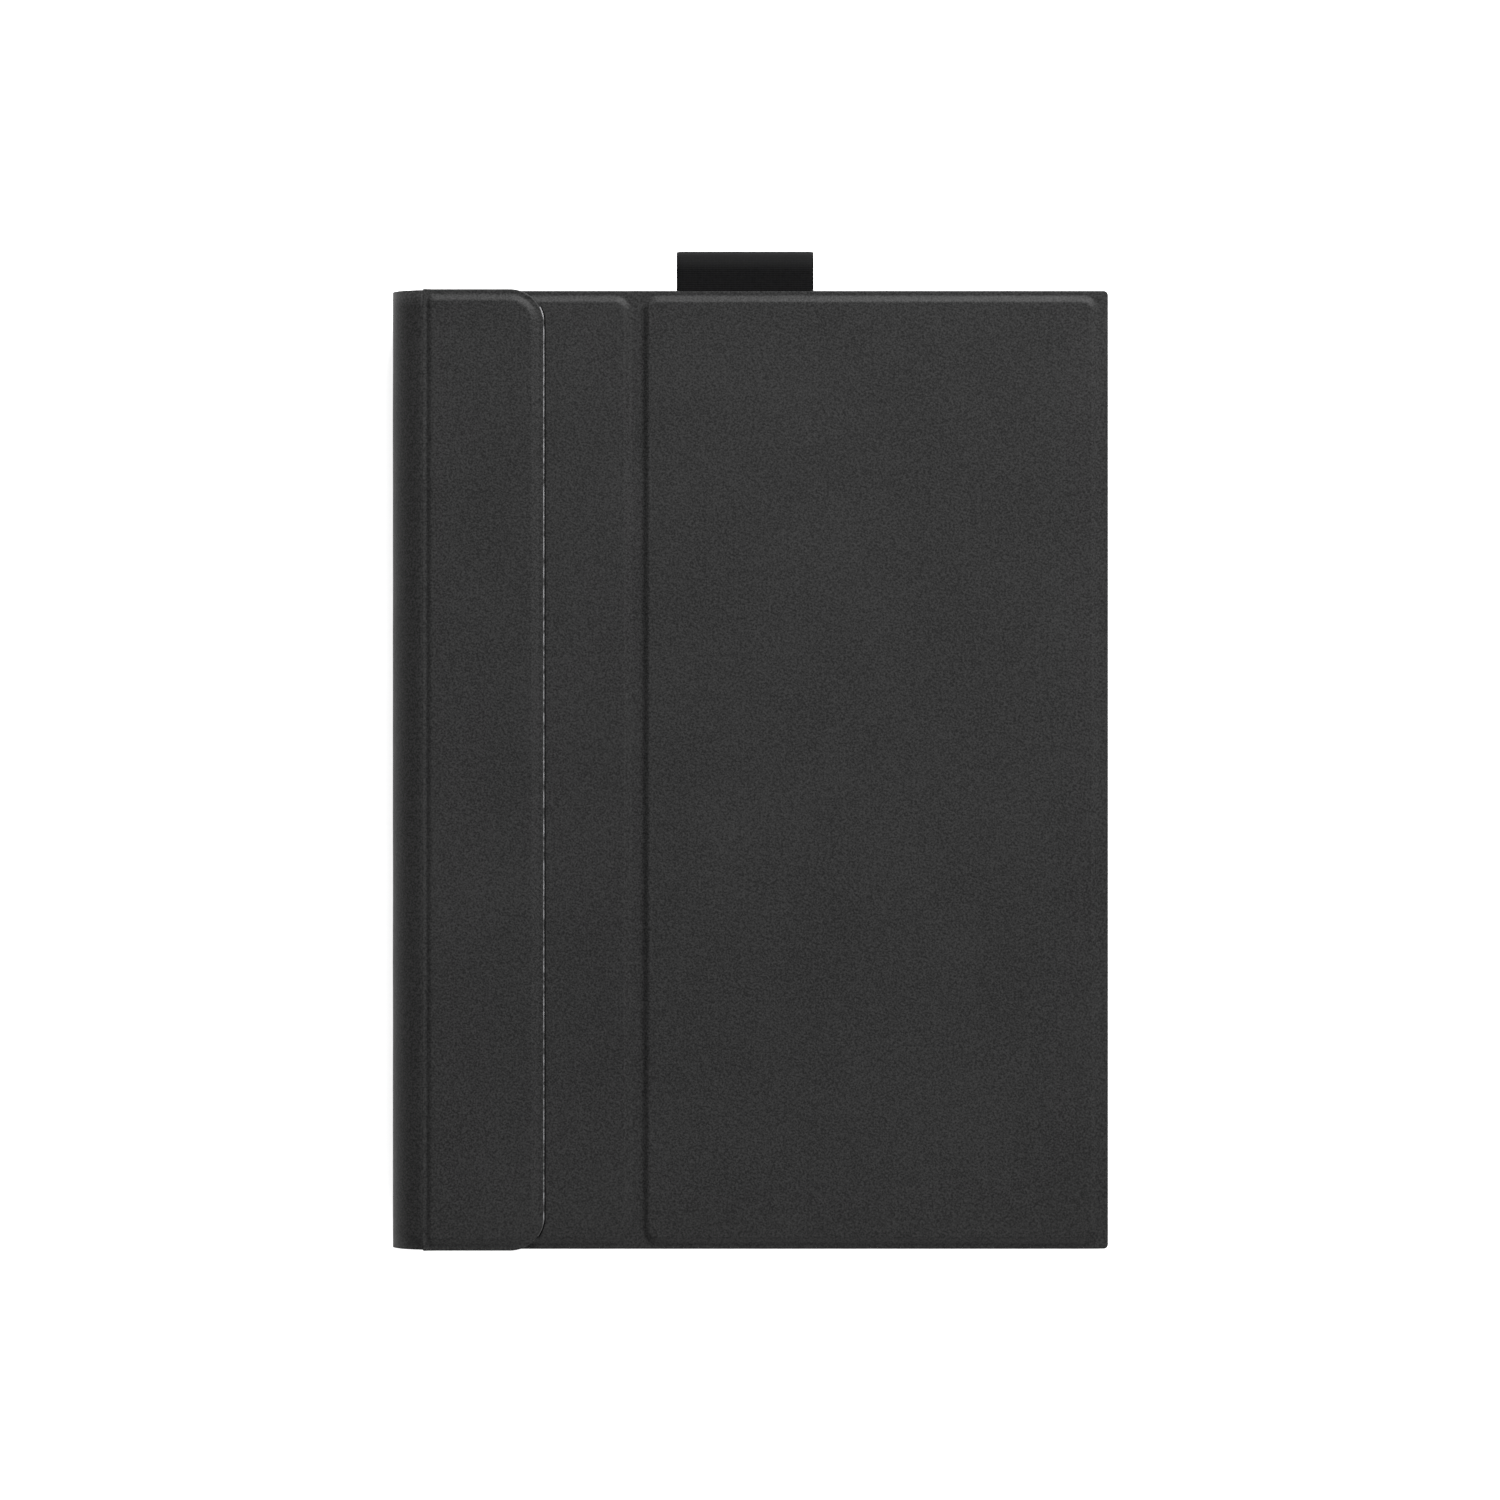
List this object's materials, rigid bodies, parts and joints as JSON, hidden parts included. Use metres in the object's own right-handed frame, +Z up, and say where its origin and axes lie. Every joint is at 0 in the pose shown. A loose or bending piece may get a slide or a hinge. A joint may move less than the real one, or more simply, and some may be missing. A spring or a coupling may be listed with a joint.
{
  "type": "tablet keyboard case",
  "caption": "Folding folio case that holds a tablet over a slim keyboard, with a magnetic flap, a stand leaf that folds out of the back and an elastic pen loop.",
  "frame": {"origin": "middle of the closed case's footprint on the face that rests on the table, without the pen loop", "axes": "+Z up through the closed case, +Y along the long side towards the pen loop, +X away from the spine"},
  "size_m": [0.1916, 0.2672, 0.0222],
  "materials": {
    "cover_skin": "matte fine-grained",
    "lining": "brushed microfibre",
    "board": "pressed board",
    "keyboard_case": "matte",
    "keycap": "matte",
    "membrane": "clear film",
    "dome": "silicone",
    "battery": "foil pouch",
    "circuit_board": "solder mask",
    "metal": "satin",
    "rest": "matte",
    "holder": "fine texture",
    "elastic": "woven elastic"
  },
  "bodies": {
    "keyboard_half": {"front_skin": "cover_skin", "front_board": "board", "front_lining": "lining", "keyboard_base": "keyboard_case", "keyboard_deck": "keyboard_case", "key_membrane": "membrane", "rubber_domes": "dome", "battery": "battery", "circuit_board": "circuit_board", "usb_port": "metal", "keyboard_screws": "metal", "stand_rest": "rest"},
    "spine": {"spine_skin": "cover_skin", "spine_lining": "lining"},
    "flap": {"flap_skin": "cover_skin", "flap_board": "board", "flap_lining": "lining", "flap_magnets": "metal"},
    "tablet_half": {"support_skin": "cover_skin", "support_board": "board", "support_lining": "lining", "support_plates": "metal", "holder_shell": "holder"},
    "stand_leaf": {"leaf_skin": "cover_skin", "leaf_board": "board", "leaf_lining": "lining", "pen_loop": "elastic"},
    "switch_button": {"power_switch": "keycap"},
    "q_cap": {"key_q": "keycap"},
    "w_cap": {"key_w": "keycap"},
    "e_cap": {"key_e": "keycap"},
    "r_cap": {"key_r": "keycap"},
    "t_cap": {"key_t": "keycap"},
    "y_cap": {"key_y": "keycap"},
    "u_cap": {"key_u": "keycap"},
    "i_cap": {"key_i": "keycap"},
    "o_cap": {"key_o": "keycap"},
    "p_cap": {"key_p": "keycap"},
    "a_cap": {"key_a": "keycap"},
    "s_cap": {"key_s": "keycap"},
    "d_cap": {"key_d": "keycap"},
    "f_cap": {"key_f": "keycap"},
    "g_cap": {"key_g": "keycap"},
    "h_cap": {"key_h": "keycap"},
    "j_cap": {"key_j": "keycap"},
    "k_cap": {"key_k": "keycap"},
    "l_cap": {"key_l": "keycap"},
    "z_cap": {"key_z": "keycap"},
    "x_cap": {"key_x": "keycap"},
    "c_cap": {"key_c": "keycap"},
    "v_cap": {"key_v": "keycap"},
    "b_cap": {"key_b": "keycap"},
    "n_cap": {"key_n": "keycap"},
    "m_cap": {"key_m": "keycap"},
    "space_bar_cap": {"space_bar": "keycap"},
    "number_row_keys_cap": {"number_row_keys": "keycap"},
    "function_row_keys_cap": {"function_row_keys": "keycap"},
    "punctuation_keys_cap": {"punctuation_keys": "keycap"},
    "left_modifier_keys_cap": {"left_modifier_keys": "keycap"},
    "right_modifier_keys_cap": {"right_modifier_keys": "keycap"}
  },
  "joints": [
    {"name": "cover_spine_fold", "type": "hinge", "parent": "keyboard_half", "child": "spine", "pos_m": [-0.086, 0, 0.0007], "axis": [0, -1, 0], "range_deg": [0, 90]},
    {"name": "cover_flap_fold", "type": "hinge", "parent": "spine", "child": "flap", "pos_m": [-0.086, 0, 0.0215], "axis": [0, -1, 0], "range_deg": [0, 90]},
    {"name": "holder_release", "type": "slide", "parent": "flap", "child": "tablet_half", "axis": [1, 0, 0], "range_m": [0, 0.2]},
    {"name": "leaf_fold", "type": "hinge", "parent": "tablet_half", "child": "stand_leaf", "pos_m": [-0.0302, 0, 0.0187], "axis": [0, 1, 0], "range_deg": [-95, 0]},
    {"name": "power_slide", "type": "slide", "parent": "keyboard_half", "child": "switch_button", "axis": [0, 1, 0], "range_m": [0, 0.003]},
    {"name": "press_q", "type": "slide", "parent": "keyboard_half", "child": "q_cap", "axis": [0, 0, 1], "range_m": [-0.0013, 0], "stiffness_N_per_m": 460},
    {"name": "press_w", "type": "slide", "parent": "keyboard_half", "child": "w_cap", "axis": [0, 0, 1], "range_m": [-0.0013, 0], "stiffness_N_per_m": 460},
    {"name": "press_e", "type": "slide", "parent": "keyboard_half", "child": "e_cap", "axis": [0, 0, 1], "range_m": [-0.0013, 0], "stiffness_N_per_m": 460},
    {"name": "press_r", "type": "slide", "parent": "keyboard_half", "child": "r_cap", "axis": [0, 0, 1], "range_m": [-0.0013, 0], "stiffness_N_per_m": 460},
    {"name": "press_t", "type": "slide", "parent": "keyboard_half", "child": "t_cap", "axis": [0, 0, 1], "range_m": [-0.0013, 0], "stiffness_N_per_m": 460},
    {"name": "press_y", "type": "slide", "parent": "keyboard_half", "child": "y_cap", "axis": [0, 0, 1], "range_m": [-0.0013, 0], "stiffness_N_per_m": 460},
    {"name": "press_u", "type": "slide", "parent": "keyboard_half", "child": "u_cap", "axis": [0, 0, 1], "range_m": [-0.0013, 0], "stiffness_N_per_m": 460},
    {"name": "press_i", "type": "slide", "parent": "keyboard_half", "child": "i_cap", "axis": [0, 0, 1], "range_m": [-0.0013, 0], "stiffness_N_per_m": 460},
    {"name": "press_o", "type": "slide", "parent": "keyboard_half", "child": "o_cap", "axis": [0, 0, 1], "range_m": [-0.0013, 0], "stiffness_N_per_m": 460},
    {"name": "press_p", "type": "slide", "parent": "keyboard_half", "child": "p_cap", "axis": [0, 0, 1], "range_m": [-0.0013, 0], "stiffness_N_per_m": 460},
    {"name": "press_a", "type": "slide", "parent": "keyboard_half", "child": "a_cap", "axis": [0, 0, 1], "range_m": [-0.0013, 0], "stiffness_N_per_m": 460},
    {"name": "press_s", "type": "slide", "parent": "keyboard_half", "child": "s_cap", "axis": [0, 0, 1], "range_m": [-0.0013, 0], "stiffness_N_per_m": 460},
    {"name": "press_d", "type": "slide", "parent": "keyboard_half", "child": "d_cap", "axis": [0, 0, 1], "range_m": [-0.0013, 0], "stiffness_N_per_m": 460},
    {"name": "press_f", "type": "slide", "parent": "keyboard_half", "child": "f_cap", "axis": [0, 0, 1], "range_m": [-0.0013, 0], "stiffness_N_per_m": 460},
    {"name": "press_g", "type": "slide", "parent": "keyboard_half", "child": "g_cap", "axis": [0, 0, 1], "range_m": [-0.0013, 0], "stiffness_N_per_m": 460},
    {"name": "press_h", "type": "slide", "parent": "keyboard_half", "child": "h_cap", "axis": [0, 0, 1], "range_m": [-0.0013, 0], "stiffness_N_per_m": 460},
    {"name": "press_j", "type": "slide", "parent": "keyboard_half", "child": "j_cap", "axis": [0, 0, 1], "range_m": [-0.0013, 0], "stiffness_N_per_m": 460},
    {"name": "press_k", "type": "slide", "parent": "keyboard_half", "child": "k_cap", "axis": [0, 0, 1], "range_m": [-0.0013, 0], "stiffness_N_per_m": 460},
    {"name": "press_l", "type": "slide", "parent": "keyboard_half", "child": "l_cap", "axis": [0, 0, 1], "range_m": [-0.0013, 0], "stiffness_N_per_m": 460},
    {"name": "press_z", "type": "slide", "parent": "keyboard_half", "child": "z_cap", "axis": [0, 0, 1], "range_m": [-0.0013, 0], "stiffness_N_per_m": 460},
    {"name": "press_x", "type": "slide", "parent": "keyboard_half", "child": "x_cap", "axis": [0, 0, 1], "range_m": [-0.0013, 0], "stiffness_N_per_m": 460},
    {"name": "press_c", "type": "slide", "parent": "keyboard_half", "child": "c_cap", "axis": [0, 0, 1], "range_m": [-0.0013, 0], "stiffness_N_per_m": 460},
    {"name": "press_v", "type": "slide", "parent": "keyboard_half", "child": "v_cap", "axis": [0, 0, 1], "range_m": [-0.0013, 0], "stiffness_N_per_m": 460},
    {"name": "press_b", "type": "slide", "parent": "keyboard_half", "child": "b_cap", "axis": [0, 0, 1], "range_m": [-0.0013, 0], "stiffness_N_per_m": 460},
    {"name": "press_n", "type": "slide", "parent": "keyboard_half", "child": "n_cap", "axis": [0, 0, 1], "range_m": [-0.0013, 0], "stiffness_N_per_m": 460},
    {"name": "press_m", "type": "slide", "parent": "keyboard_half", "child": "m_cap", "axis": [0, 0, 1], "range_m": [-0.0013, 0], "stiffness_N_per_m": 460},
    {"name": "press_space_bar", "type": "slide", "parent": "keyboard_half", "child": "space_bar_cap", "axis": [0, 0, 1], "range_m": [-0.0013, 0], "stiffness_N_per_m": 460},
    {"name": "press_number_row_keys", "type": "slide", "parent": "keyboard_half", "child": "number_row_keys_cap", "axis": [0, 0, 1], "range_m": [-0.0013, 0], "stiffness_N_per_m": 460},
    {"name": "press_function_row_keys", "type": "slide", "parent": "keyboard_half", "child": "function_row_keys_cap", "axis": [0, 0, 1], "range_m": [-0.0013, 0], "stiffness_N_per_m": 460},
    {"name": "press_punctuation_keys", "type": "slide", "parent": "keyboard_half", "child": "punctuation_keys_cap", "axis": [0, 0, 1], "range_m": [-0.0013, 0], "stiffness_N_per_m": 460},
    {"name": "press_left_modifier_keys", "type": "slide", "parent": "keyboard_half", "child": "left_modifier_keys_cap", "axis": [0, 0, 1], "range_m": [-0.0013, 0], "stiffness_N_per_m": 460},
    {"name": "press_right_modifier_keys", "type": "slide", "parent": "keyboard_half", "child": "right_modifier_keys_cap", "axis": [0, 0, 1], "range_m": [-0.0013, 0], "stiffness_N_per_m": 460}
  ]
}
